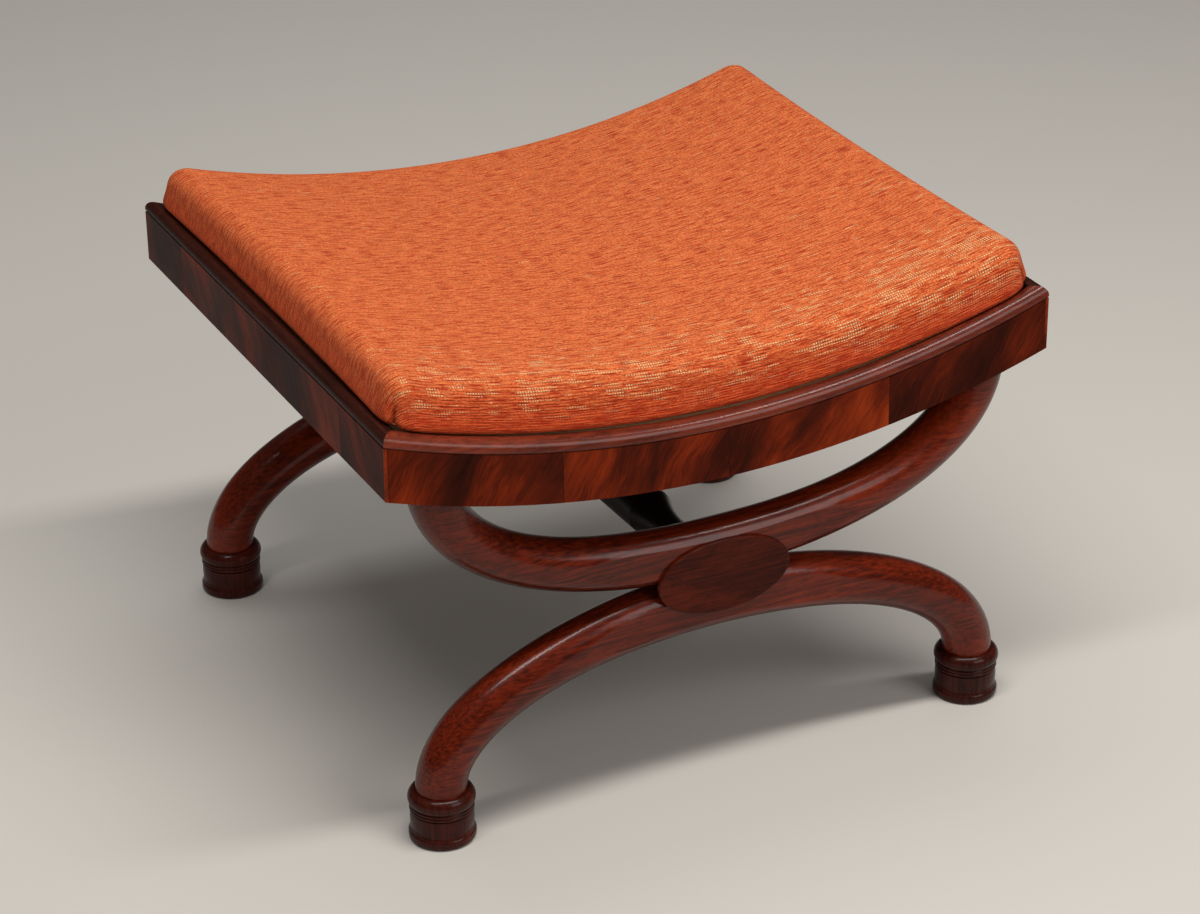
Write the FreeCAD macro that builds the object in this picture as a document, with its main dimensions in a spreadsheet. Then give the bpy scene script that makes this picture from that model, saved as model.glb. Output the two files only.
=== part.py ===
import FreeCAD, Part
import math
import os
import Sketcher

os.makedirs("parts", exist_ok=True)
doc = FreeCAD.newDocument("x_frame_stool")
sheet = doc.addObject("Spreadsheet::Sheet", "Sheet")

# Driving sizes, in millimetres unless the name says otherwise
SIZES = {
    "seat_length": 610.0,
    "seat_depth": 536.0,
    "corner_underside": 336.5,
    "seat_sag": 49.5,
    "rail_height": 44.0,
    "rail_thickness": 34.0,
    "veneer_thickness": 1.2,
    "moulding_width": 12.5,
    "moulding_height": 12.0,
    "moulding_round": 10.0,
    "quirk_height": 1.4,
    "quirk_depth": 1.3,
    "tenon_thickness": 10.0,
    "tenon_length": 18.0,
    "tenon_shoulder": 8.0,
    "glue_gap": 0.1,
    "block_length": 50.0,
    "block_drop": 3.0,
    "block_bevel": 34.0,
    "screw_length": 64.0,
    "screw_rise": 13.5,
    "screw_edge": 9.0,
    "screw_diameter": 4.0,
    "screw_head_diameter": 8.0,
    "screw_head_height": 2.6,
    "leg_inset": 50.0,
    "frame_inset": 27.0,
    "crossing_height": 187.5,
    "upper_arc_height": 49.0,
    "lower_arc_height": 52.0,
    "arc_end_diameter": 43.5,
    "arc_flat_depth": 34.6,
    "arc_flat_height": 27.0,
    "arc_head_rise": 4.0,
    "arc_land": 1.0,
    "upper_roundness": 2.25,
    "lower_roundness": 2.0,
    "foot_height": 46.0,
    "foot_diameter": 57.0,
    "foot_waist_diameter": 53.0,
    "foot_neck_diameter": 48.0,
    "foot_base_height": 13.0,
    "foot_band_height": 13.5,
    "foot_ring_height": 3.0,
    "foot_ring_groove": 1.1,
    "foot_sole_diameter": 52.0,
    "dowel_diameter": 12.0,
    "dowel_length": 44.0,
    "crossing_dowel_diameter": 10.0,
    "crossing_dowel_length": 50.0,
    "crossing_dowel_spacing": 42.0,
    "boss_length": 124.0,
    "boss_height": 67.0,
    "boss_thickness": 3.5,
    "boss_round": 1.2,
    "boss_rise": 4.0,
    "stretcher_diameter": 44.0,
    "stretcher_end_diameter": 28.0,
    "stretcher_collar_diameter": 34.0,
    "stretcher_collar_length": 7.0,
    "stretcher_tenon_diameter": 20.0,
    "stretcher_tenon_length": 26.0,
    "stretcher_neck_length": 36.0,
    "stretcher_cove_length": 55.0,
    "seat_gap": 1.5,
    "rest_gap": 0.35,
    "cover_thickness": 1.6,
    "cover_hem": 31.0,
    "slip_rail_width": 46.0,
    "slip_rail_thickness": 14.0,
    "slip_dowel_diameter": 6.0,
    "slip_dowel_length": 44.0,
    "slip_dowel_spacing": 22.0,
    "strap_count": 6.0,
    "strap_width": 50.0,
    "strap_thickness": 2.0,
    "strap_edge_gap": 1.0,
    "tack_head_diameter": 6.0,
    "tack_head_thickness": 0.6,
    "tack_shank_diameter": 1.4,
    "tack_length": 9.0,
    "hessian_thickness": 0.8,
    "under_cloth_thickness": 0.6,
    "under_cloth_margin": 1.0,
    "staple_width": 10.0,
    "staple_wire": 0.9,
    "staple_leg": 7.0,
    "staple_pitch": 48.0,
    "cushion_middle_rise": 60.0,
    "cushion_end_rise": 57.5,
    "cushion_crown": 9.0,
    "cushion_edge_round": 20.0,
    "cushion_corner_round": 15.0,
    "cushion_bulge": 6.0,
    "cushion_draw_in": 5.0,
    "cushion_lap_gap": 0.5,
    "cushion_lap_round": 5.0,
}
for row, (alias, number) in enumerate(SIZES.items(), start=1):
    sheet.set(f"A{row}", alias)
    sheet.set(f"B{row}", str(number))
    sheet.setAlias(f"B{row}", alias)
doc.recompute()


class Size:
    """A size that knows its number and the expression that ties it to the sheet."""

    def __init__(self, number, text):
        self.number = number
        self.text = text

    def __add__(self, other):
        other = as_size(other)
        return Size(self.number + other.number, f"({self.text} + {other.text})")

    def __sub__(self, other):
        other = as_size(other)
        return Size(self.number - other.number, f"({self.text} - {other.text})")

    def __mul__(self, other):
        other = as_size(other)
        return Size(self.number * other.number, f"({self.text} * {other.text})")

    def __truediv__(self, other):
        other = as_size(other)
        return Size(self.number / other.number, f"({self.text} / {other.text})")

    def __neg__(self):
        return Size(-self.number, f"(0 - {self.text})")


def as_size(value):
    return value if isinstance(value, Size) else Size(float(value), repr(float(value)))


def root(value):
    return Size(math.sqrt(value.number), f"sqrt({value.text})")


def cell(alias):
    return Size(float(getattr(sheet, alias)), f"Sheet.{alias}")


def bind(thing, prop, value):
    thing.setExpression(prop, as_size(value).text)


def place(thing, x=0.0, y=0.0, z=0.0, rotation=None):
    if rotation is not None:
        thing.Placement = FreeCAD.Placement(FreeCAD.Vector(), rotation)
    for axis, value in (("x", x), ("y", y), ("z", z)):
        bind(thing, f"Placement.Base.{axis}", value)
    return thing


ALONG_Y = FreeCAD.Rotation(FreeCAD.Vector(1, 0, 0), -90)
SIDES = {"front": -1, "back": 1}
ENDS = {"left": -1, "right": 1}
finished = {}


def finish(name, thing):
    """Keep a finished sub-part under its own name."""
    thing.Label = name
    finished[name] = thing
    return thing


def box(name, low, high):
    thing = doc.addObject("Part::Box", name)
    for prop, start, end in zip(("Length", "Width", "Height"), low, high):
        bind(thing, prop, as_size(end) - start)
    return place(thing, *low)


def cylinder(name, radius, length, at, rotation=None):
    thing = doc.addObject("Part::Cylinder", name)
    bind(thing, "Radius", radius)
    bind(thing, "Height", length)
    return place(thing, *at, rotation=rotation)


def cut(name, base, tool):
    thing = doc.addObject("Part::Cut", name)
    thing.Base = base
    thing.Tool = tool
    return thing


def common(name, base, tool):
    thing = doc.addObject("Part::Common", name)
    thing.Base = base
    thing.Tool = tool
    return thing


def mirror(name, thing):
    """The same piece on the front."""
    copy = doc.addObject("Part::Mirroring", name)
    copy.Source = thing
    copy.Normal = FreeCAD.Vector(0, 1, 0)
    return copy


def fuse(name, *shapes):
    thing = doc.addObject("Part::MultiFuse", name)
    thing.Shapes = list(shapes)
    return thing


# Derived sizes, and how far a cutting form runs past what it cuts
SPARE = 20.0
half_length = cell("seat_length") / 2
half_depth = cell("seat_depth") / 2
sag = cell("seat_sag")
saddle_radius = (half_length * half_length + sag * sag) / (sag * 2)
saddle_axis = cell("corner_underside") - sag + saddle_radius
rail_out_x = half_length - cell("veneer_thickness")
rail_out_y = half_depth - cell("veneer_thickness")
rail_in_x = rail_out_x - cell("rail_thickness")
rail_in_y = rail_out_y - cell("rail_thickness")
leg_x = half_length - cell("leg_inset")
leg_y = half_depth - cell("frame_inset")
crossing = cell("crossing_height")
low_z = cell("corner_underside") - sag - SPARE
high_z = (cell("corner_underside") + cell("rail_height") + cell("cushion_end_rise")
          + cell("cushion_crown") + SPARE)
seat_x = half_length - cell("moulding_width") - cell("seat_gap")
seat_y = half_depth - cell("moulding_width") - cell("seat_gap")
cloth = cell("cover_thickness")
under_seat = cell("rail_height") + cell("rest_gap")
slip_bottom = under_seat + cloth
slip_top = slip_bottom + cell("slip_rail_thickness")
strap_top = slip_top + cell("strap_thickness")
hessian_bottom = strap_top + cell("tack_head_thickness") + cell("glue_gap")
hessian_top = hessian_bottom + cell("hessian_thickness")
slip_x = seat_x - cloth
slip_y = seat_y - cloth


def saddle_solid(name, rise):
    """Everything above the saddle curve that lies the given rise over the rails' underside."""
    return cylinder(name, saddle_radius - rise, (half_depth + SPARE) * 2,
                    (0.0, -half_depth - SPARE, saddle_axis), ALONG_Y)


def saddle_piece(name, low, high, bottom, top):
    """A block in plan, bounded below and above by two saddle curves."""
    block = box(name + "_block", (*low, low_z), (*high, high_z))
    curved = common(name + "_curved", block, saddle_solid(name + "_under", bottom))
    return cut(name, curved, saddle_solid(name + "_over", top))


def mirrored(low, high, sign):
    """The plan limits of a piece on one side, from its limits on the positive side."""
    return (low, high) if sign > 0 else (-as_size(high), -as_size(low))


# Seat rails, with tenoned short rails between the long ones
tenon_mid = rail_out_x - cell("rail_thickness") / 2
tenon_half = cell("tenon_thickness") / 2
tenon_end = rail_in_y + cell("tenon_length")
tenon_low = cell("tenon_shoulder")
tenon_high = cell("rail_height") - cell("tenon_shoulder")


def leg_socket(name, x_sign, y_sign, extra):
    """The dowel, or with extra its drilled hole, that joins an upper arc to the rail."""
    radius = cell("dowel_diameter") / 2 + extra
    length = cell("dowel_length") + extra * 2
    foot = saddle_axis - root(saddle_radius * saddle_radius - leg_x * leg_x)
    bottom = foot - cell("dowel_length") / 2 - extra
    return cylinder(name, radius, length, (leg_x * x_sign, leg_y * y_sign, bottom))


gap = cell("glue_gap")
for side, y_sign in SIDES.items():
    name = f"rail_{side}"
    y_low, y_high = mirrored(rail_in_y, rail_out_y, y_sign)
    rail = saddle_piece(name + "_plain", (-rail_out_x, y_low), (rail_out_x, y_high),
                        0.0, cell("rail_height"))
    holes = []
    for end, x_sign in ENDS.items():
        x_low, x_high = mirrored(tenon_mid - tenon_half - gap, tenon_mid + tenon_half + gap, x_sign)
        m_low, m_high = mirrored(rail_in_y - 1, tenon_end + gap, y_sign)
        holes.append(saddle_piece(f"{name}_mortise_{end}", (x_low, m_low), (x_high, m_high),
                                  tenon_low - gap, tenon_high + gap))
        holes.append(leg_socket(f"{name}_socket_{end}", x_sign, y_sign, gap))
    finish(name, cut(name, rail, fuse(name + "_holes", *holes)))

for end, x_sign in ENDS.items():
    name = f"rail_{end}"
    x_low, x_high = mirrored(rail_in_x, rail_out_x, x_sign)
    rail = saddle_piece(name + "_plain", (x_low, -rail_in_y), (x_high, rail_in_y),
                        0.0, cell("rail_height"))
    t_low, t_high = mirrored(tenon_mid - tenon_half, tenon_mid + tenon_half, x_sign)
    tenons = saddle_piece(name + "_tenons", (t_low, -tenon_end), (t_high, tenon_end),
                          tenon_low, tenon_high)
    finish(name, fuse(name, rail, tenons))

# Figured veneers on the four outer faces
for side, y_sign in SIDES.items():
    y_low, y_high = mirrored(rail_out_y, half_depth, y_sign)
    finish(f"veneer_{side}", saddle_piece(f"veneer_{side}", (-half_length, y_low),
                                          (half_length, y_high), 0.0, cell("rail_height")))
for end, x_sign in ENDS.items():
    x_low, x_high = mirrored(rail_out_x, half_length, x_sign)
    finish(f"veneer_{end}", saddle_piece(f"veneer_{end}", (x_low, -rail_out_y),
                                         (x_high, rail_out_y), 0.0, cell("rail_height")))


def edges_where(shape, test):
    return [i for i, edge in enumerate(shape.Edges, start=1) if test(edge)]


def edge_middle(edge):
    first, last = edge.ParameterRange
    return Part.Vertex(edge.valueAt((first + last) / 2))


def level(x, rise):
    """The height of a saddle curve at one x."""
    radius = (saddle_radius - rise).number
    return saddle_axis.number - math.sqrt(radius * radius - x * x)


# The top moulding: one mitred rim, rounded over, above a fine quirk
rim_bottom = cell("rail_height") + cell("quirk_height")
rim_top = cell("rail_height") + cell("moulding_height")
rim_in_x = half_length - cell("moulding_width")
rim_in_y = half_depth - cell("moulding_width")
rim_solid = saddle_piece("rim_solid", (-half_length, -half_depth), (half_length, half_depth),
                         rim_bottom, rim_top)
rim_well = box("rim_well", (-rim_in_x, -rim_in_y, low_z), (rim_in_x, rim_in_y, high_z))
rim_ring = cut("rim_ring", rim_solid, rim_well)
doc.recompute()


def on_outer_top(edge):
    middle = edge_middle(edge)
    outside = (abs(abs(middle.X) - half_length.number) < 0.01
               or abs(abs(middle.Y) - half_depth.number) < 0.01)
    top = level(middle.X, rim_top)
    return outside and abs(middle.Z - top) < 0.05 and edge.Length > cell("moulding_width").number * 4


quirk_x = half_length - cell("quirk_depth")
quirk_y = half_depth - cell("quirk_depth")
quirk_solid = saddle_piece("quirk_solid", (-quirk_x, -quirk_y), (quirk_x, quirk_y),
                           cell("rail_height"), rim_bottom)
quirk_well = box("quirk_well", (-rim_in_x, -rim_in_y, low_z), (rim_in_x, rim_in_y, high_z))
quirk_ring = cut("quirk_ring", quirk_solid, quirk_well)


def side_wedge(name, y_sign):
    """The plan of one long side of the rim, mitred at both ends."""
    wedge = doc.addObject("Part::Wedge", name)
    outer = half_length
    inner = rim_in_x - cell("moulding_width")
    near, far = (inner, outer) if y_sign > 0 else (outer, inner)
    y_low, y_high = mirrored(rim_in_y - cell("moulding_width"), half_depth, y_sign)
    sizes = {"Xmin": -near, "Xmax": near, "X2min": -far, "X2max": far, "Ymin": 0.0,
             "Ymax": as_size(y_high) - y_low, "Zmin": 0.0, "Z2min": 0.0,
             "Zmax": high_z - low_z, "Z2max": high_z - low_z}
    for prop, value in sizes.items():
        bind(wedge, prop, value)
    return place(wedge, 0.0, y_low, low_z)


def side_length(name, ring, y_sign):
    """One long side of a rim."""
    return common(name, ring, side_wedge(name + "_mitre", y_sign))


def end_length(name, ring, x_sign):
    """One short side of a rim."""
    x_low, x_high = mirrored(0.0, half_length + 1, x_sign)
    half = common(name + "_half", ring, box(name + "_box", (x_low, -half_depth, low_z),
                                            (x_high, half_depth, high_z)))
    wedges = fuse(name + "_mitres", side_wedge(name + "_mitre_front", -1),
                  side_wedge(name + "_mitre_back", 1))
    return cut(name, half, wedges)


def round_over(slope):
    """The moulding's rounding, kept within its wall where the top leans by the slope."""
    wall = min(cell("moulding_width").number / math.cos(slope), (rim_top - rim_bottom).number)
    return min(cell("moulding_round").number, wall * 0.94 * math.tan((math.pi / 2 - slope) / 2))


def moulding(name, length_of, sign, slope):
    """One mitred length of the top moulding, rounded over, on its quirk."""
    square = length_of(name + "_square", rim_ring, sign)
    doc.recompute()
    bead = doc.addObject("Part::Fillet", name + "_bead")
    bead.Base = square
    over = round_over(slope)
    bead.Edges = [(i, over, over) for i in edges_where(square.Shape, on_outer_top)]
    finish(name, fuse(name, bead, length_of(name + "_quirk", quirk_ring, sign)))


for side, y_sign in SIDES.items():
    moulding(f"moulding_{side}", side_length, y_sign, 0.0)
end_slope = math.asin(half_length.number / (saddle_radius - rim_top).number)
for end, x_sign in ENDS.items():
    moulding(f"moulding_{end}", end_length, x_sign, end_slope)

# Corner blocks behind the rails, over the heads of the upper arcs
block_x = rail_in_x - cell("block_length")
block_y = rail_in_y - cell("block_length")
bevel = cell("block_bevel")
screw_z = cell("corner_underside") + cell("screw_rise")
screws = []


def screw(name, at, rotation):
    """A countersunk wood screw, its head at the given point."""
    shank = cylinder(name + "_shank", cell("screw_diameter") / 2, cell("screw_length"), at, rotation)
    head = doc.addObject("Part::Cone", name + "_head")
    bind(head, "Radius1", cell("screw_head_diameter") / 2)
    bind(head, "Radius2", cell("screw_diameter") / 2)
    bind(head, "Height", cell("screw_head_height"))
    place(head, *at, rotation=rotation)
    return fuse(name, shank, head)


TOWARDS = {
    ("y", 1): FreeCAD.Rotation(FreeCAD.Vector(1, 0, 0), -90),
    ("y", -1): FreeCAD.Rotation(FreeCAD.Vector(1, 0, 0), 90),
    ("x", 1): FreeCAD.Rotation(FreeCAD.Vector(0, 1, 0), 90),
    ("x", -1): FreeCAD.Rotation(FreeCAD.Vector(0, 1, 0), -90),
}
edge_in = cell("screw_edge")
for side, y_sign in SIDES.items():
    for end, x_sign in ENDS.items():
        name = f"corner_block_{side}_{end}"
        x_low, x_high = mirrored(block_x, rail_in_x, x_sign)
        y_low, y_high = mirrored(block_y, rail_in_y, y_sign)
        block = saddle_piece(name + "_plain", (x_low, y_low), (x_high, y_high),
                             0.0, cell("rail_height") - cell("block_drop"))
        reach = bevel * 1.5
        corner = doc.addObject("Part::Box", name + "_bevel")
        bind(corner, "Length", reach * 2)
        bind(corner, "Width", reach)
        bind(corner, "Height", high_z - low_z)
        turn = {(1, 1): 135, (-1, 1): -135, (-1, -1): -45, (1, -1): 45}[(x_sign, y_sign)]
        angle = math.radians(turn)
        rotation = FreeCAD.Rotation(FreeCAD.Vector(0, 0, 1), turn)
        middle_x = (block_x + bevel / 2) * x_sign
        middle_y = (block_y + bevel / 2) * y_sign
        place(corner, middle_x - reach * math.cos(angle), middle_y - reach * math.sin(angle),
              low_z, rotation)
        socket = leg_socket(name + "_socket", x_sign, y_sign, gap)
        finish(name, cut(name, block, fuse(name + "_holes", corner, socket)))
        screws.append(screw(f"screw_{side}_{end}_long", ((rail_in_x - edge_in) * x_sign,
                            block_y * y_sign, screw_z), TOWARDS["y", y_sign]))
        screws.append(screw(f"screw_{side}_{end}_short", (block_x * x_sign,
                            (rail_in_y - edge_in) * y_sign, screw_z), TOWARDS["x", x_sign]))
corner_screws = doc.addObject("Part::Compound", "corner_block_screws")
corner_screws.Links = screws
finish("corner_block_screws", corner_screws)

# The four arcs: round bars that grow higher and flat faced where they cross
ARC_STEPS = 28
LAND_REACH = 40.0
LAND_LENGTH = 60.0
FLAT_END = 0.68
FULL_ROUND = 0.998


def blend(start, end, at):
    """A smooth passage from 0 to 1 as at goes from start to end."""
    share = min(1.0, max(0.0, (at - start) / (end - start)))
    return share * share * (3 - 2 * share)


def bar_section(middle, normal, half_high, half_deep, half_flat):
    """Two flat faces under and over domed edges, cut square to the arc's centre line."""
    across = FreeCAD.Vector(0, 1, 0)

    def at(high, deep):
        return middle + normal * high + across * deep

    corners = [at(half_flat, half_deep), at(half_flat, -half_deep),
               at(-half_flat, -half_deep), at(-half_flat, half_deep)]
    return Part.Wire([Part.Arc(corners[0], at(half_high, 0), corners[1]).toShape(),
                      Part.LineSegment(corners[1], corners[2]).toShape(),
                      Part.Arc(corners[2], at(-half_high, 0), corners[3]).toShape(),
                      Part.LineSegment(corners[3], corners[0]).toShape()])


def arc_solid(kind, way):
    """An arc that opens upwards with way 1, or downwards with way -1, about y = 0."""
    roundness = cell(f"{kind}_roundness").number
    crossing_half = cell(f"{kind}_arc_height").number / 2
    middle_z = crossing.number + way * (crossing_half - cell("arc_land").number)
    head = cell("corner_underside") + cell("arc_head_rise")
    end_z = head.number if way > 0 else cell("foot_height").number
    reach_x = leg_x.number
    reach_z = abs(end_z - middle_z)
    end_half = cell("arc_end_diameter").number / 2
    end_deep = end_half * FULL_ROUND
    end_flat = math.sqrt(end_half * end_half - end_deep * end_deep)
    start_deep = cell("arc_flat_depth").number / 2
    start_flat = cell("arc_flat_height").number / 2
    flat_start = cell("boss_length").number * 0.62 / reach_x
    wires = []
    for step in range(ARC_STEPS + 1):
        angle = math.radians(-90 + 180 * step / ARC_STEPS)
        side = math.copysign(abs(math.sin(angle)) ** (2 / roundness), math.sin(angle))
        drop = abs(math.cos(angle)) ** (2 / roundness)
        middle = FreeCAD.Vector(reach_x * side, 0, end_z - way * reach_z * drop)
        normal = FreeCAD.Vector(math.copysign(abs(side) ** (roundness - 1) / reach_x, -side), 0,
                                way * drop ** (roundness - 1) / reach_z)
        normal.normalize()
        share = blend(0.1, 0.85, abs(side))
        flat_share = blend(flat_start, FLAT_END, abs(side))
        wires.append(bar_section(middle, normal,
                                 crossing_half + (end_half - crossing_half) * share,
                                 start_deep + (end_deep - start_deep) * flat_share,
                                 start_flat + (end_flat - start_flat) * flat_share))
    return Part.makeLoft(wires, True, False)


dowels = {"rail": [], "foot": [], "crossing": []}
crossing_half_space = cell("crossing_dowel_spacing") / 2
foot_top = cell("foot_height")


def foot_dowel(name, x_sign, y_sign, extra):
    return cylinder(name, cell("dowel_diameter") / 2 + extra, cell("dowel_length") + extra * 2,
                    (leg_x * x_sign, leg_y * y_sign, foot_top - cell("dowel_length") / 2 - extra))


def crossing_dowel(name, x_sign, y_sign, extra):
    return cylinder(name, cell("crossing_dowel_diameter") / 2 + extra,
                    cell("crossing_dowel_length") + extra * 2,
                    (crossing_half_space * x_sign, leg_y * y_sign,
                     crossing - cell("crossing_dowel_length") / 2 - extra))


arc_in_y = leg_y - cell("arc_flat_depth") / 2
tenon_reach = cell("stretcher_tenon_length")


def stretcher_socket(name, y_sign):
    y_low, y_high = mirrored(arc_in_y - 1, arc_in_y + tenon_reach + gap, y_sign)
    return cylinder(name, cell("stretcher_tenon_diameter") / 2 + gap, as_size(y_high) - y_low,
                    (0.0, y_low, crossing), ALONG_Y)


for kind, way in (("upper", 1), ("lower", -1)):
    name = f"arc_{kind}"
    blank = doc.addObject("Part::Feature", name + "_blank")
    blank.Shape = arc_solid(kind, way)
    place(blank, 0.0, leg_y, 0.0)
    z_low, z_high = (crossing - LAND_REACH, crossing) if way > 0 else (crossing, crossing + LAND_REACH)
    tools = [box(name + "_land", (-LAND_LENGTH, leg_y - LAND_REACH, z_low),
                 (LAND_LENGTH, leg_y + LAND_REACH, z_high))]
    tools.append(stretcher_socket(name + "_stretcher", 1))
    for end, x_sign in ENDS.items():
        tools.append(crossing_dowel(f"{name}_pin_{end}", x_sign, 1, gap))
        joint = leg_socket if way > 0 else foot_dowel
        tools.append(joint(f"{name}_end_{end}", x_sign, 1, gap))
    if way > 0:
        tools.append(saddle_solid(name + "_seat", 0.0))
    back = cut(name + "_back", blank, fuse(name + "_holes", *tools))
    finish(name + "_back", back)
    finish(name + "_front", mirror(name + "_front", back))
for side, y_sign in SIDES.items():
    for end, x_sign in ENDS.items():
        dowels["rail"].append(leg_socket(f"rail_dowel_{side}_{end}", x_sign, y_sign, 0.0))
        dowels["foot"].append(foot_dowel(f"foot_dowel_{side}_{end}", x_sign, y_sign, 0.0))
        dowels["crossing"].append(crossing_dowel(f"pin_{side}_{end}", x_sign, y_sign, 0.0))
for kind, pieces in dowels.items():
    group = doc.addObject("Part::Compound", f"{kind}_dowels")
    group.Links = pieces
    finish(f"{kind}_dowels", group)


def origin_plane(body, role):
    return [part for part in body.Origin.OriginFeatures if part.Role == role][0]


def outline(body, name, steps):
    """A closed outline on the body's upright plane. Each step is a point and the arc radius that
    leads on from it: 0 for a straight line, positive to bulge outwards, negative to hollow."""
    sketch = body.newObject("Sketcher::SketchObject", name)
    sketch.AttachmentSupport = [(origin_plane(body, "XZ_Plane"), "")]
    sketch.MapMode = "FlatFace"
    starts = []
    for index, (across, up, bend) in enumerate(steps):
        next_across, next_up, _ = steps[(index + 1) % len(steps)]
        first = FreeCAD.Vector(across.number, up.number, 0)
        last = FreeCAD.Vector(next_across.number, next_up.number, 0)
        if not bend:
            geometry = sketch.addGeometry(Part.LineSegment(first, last), False)
            starts.append((geometry, 1, 2))
            continue
        radius = abs(as_size(bend).number)
        chord = last - first
        left = FreeCAD.Vector(-chord.y, chord.x, 0).normalize()
        hollow = math.sqrt(max(radius * radius - chord.Length ** 2 / 4, 0))
        side = 1 if as_size(bend).number > 0 else -1
        centre = (first + last) / 2 + left * hollow * side
        begin, stop = (first, last) if side > 0 else (last, first)
        angles = [math.atan2(p.y - centre.y, p.x - centre.x) for p in (begin, stop)]
        circle = Part.Circle(centre, FreeCAD.Vector(0, 0, 1), radius)
        geometry = sketch.addGeometry(Part.ArcOfCircle(circle, *angles), False)
        starts.append((geometry, 1, 2) if side > 0 else (geometry, 2, 1))
        size = sketch.addConstraint(Sketcher.Constraint("Radius", geometry, radius))
        sketch.setExpression(f"Constraints[{size}]", as_size(bend).text if side > 0
                             else (-as_size(bend)).text)
    for index, (across, up, _) in enumerate(steps):
        geometry, start, _ = starts[index]
        before, _, end = starts[index - 1]
        sketch.addConstraint(Sketcher.Constraint("Coincident", before, end, geometry, start))
        for kind, value, axis in (("DistanceX", across, -2), ("DistanceY", up, -1)):
            if abs(value.number) < 1e-9:
                sketch.addConstraint(Sketcher.Constraint("PointOnObject", geometry, start, axis))
            else:
                held = sketch.addConstraint(
                    Sketcher.Constraint(kind, -1, 1, geometry, start, value.number))
                sketch.setExpression(f"Constraints[{held}]", value.text)
    return sketch


def turned(name, steps, at, rotation=None):
    """A piece turned on a lathe, about the body's own Z axis."""
    body = doc.addObject("PartDesign::Body", name)
    sketch = outline(body, name + "_outline", steps)
    spin = body.newObject("PartDesign::Revolution", name + "_turning")
    spin.Profile = sketch
    spin.ReferenceAxis = (sketch, ["V_Axis"])
    spin.Angle = 360
    body.Tip = spin
    return place(body, *at, rotation=rotation)


# Turned feet: a sole, a waisted band, two fine rings and a rounded collar
ZERO = as_size(0.0)
foot_radius = cell("foot_diameter") / 2
waist = cell("foot_waist_diameter") / 2
sole = cell("foot_sole_diameter") / 2
neck = cell("foot_neck_diameter") / 2
base = cell("foot_base_height")
band = base + cell("foot_band_height")
groove = cell("foot_ring_groove")
ring = cell("foot_ring_height")
ring_radius = waist + groove
first_ring = band + groove
second_ring = first_ring + ring
collar = second_ring + ring + groove / 2
collar_top = collar + (foot_top - collar) * 0.45
FOOT = [
    (ZERO, ZERO, 0),
    (sole, ZERO, base * 0.35),
    (foot_radius, base * 0.32, 0),
    (foot_radius, base * 0.45, base * 0.3),
    (foot_radius - groove, base * 0.68, 0),
    (foot_radius - groove, base * 0.74, -(base * 0.6)),
    (waist, base, cell("foot_band_height") * 4),
    (waist, band, 0),
    (waist - groove, band + groove * 0.4, 0),
    (waist - groove, first_ring, 0),
    (ring_radius - groove, first_ring, ring * 0.58),
    (ring_radius - groove, second_ring, ring * 0.58),
    (ring_radius - groove, second_ring + ring, 0),
    (ring_radius - groove * 0.5, collar, (foot_top - collar) * 0.6),
    (foot_radius, collar_top, (foot_top - collar) * 0.7),
    (neck, foot_top, 0),
    (ZERO, foot_top, 0),
]
for side, y_sign in SIDES.items():
    for end, x_sign in ENDS.items():
        name = f"foot_{side}_{end}"
        blank = turned(name + "_blank", FOOT, (leg_x * x_sign, leg_y * y_sign, 0.0))
        finish(name, cut(name, blank, foot_dowel(name + "_socket", x_sign, y_sign, gap)))

# Turned stretcher between the two crossings
shoulder = tenon_reach
span = arc_in_y * 2
total = span + tenon_reach * 2
tenon_radius = cell("stretcher_tenon_diameter") / 2
end_radius = cell("stretcher_end_diameter") / 2
collar_radius = cell("stretcher_collar_diameter") / 2
belly = cell("stretcher_diameter") / 2
collar_end = shoulder + cell("stretcher_collar_length")
cove = collar_end + cell("stretcher_neck_length")
barrel = cove + cell("stretcher_cove_length")
half_total = total / 2
barrel_drop = belly * 0.06
barrel_half = half_total - barrel
barrel_bow = (barrel_half * barrel_half + barrel_drop * barrel_drop) / (barrel_drop * 2)
barrel_end = belly - barrel_drop
cove_bow = -(cell("stretcher_cove_length") * 2)
collar_bow = cell("stretcher_collar_length") * 0.8
STRETCHER = [
    (ZERO, ZERO, 0),
    (tenon_radius, ZERO, 0),
    (tenon_radius, shoulder, 0),
    (collar_radius, shoulder, collar_bow),
    (collar_radius, collar_end, 0),
    (end_radius, collar_end, 0),
    (end_radius, cove, cove_bow),
    (barrel_end, barrel, barrel_bow),
    (belly, half_total, barrel_bow),
    (barrel_end, total - barrel, cove_bow),
    (end_radius, total - cove, 0),
    (end_radius, total - collar_end, 0),
    (collar_radius, total - collar_end, collar_bow),
    (collar_radius, total - shoulder, 0),
    (tenon_radius, total - shoulder, 0),
    (tenon_radius, total, 0),
    (ZERO, total, 0),
]
finish("stretcher", turned("stretcher", STRETCHER, (0.0, -half_total, crossing), ALONG_Y))

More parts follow.
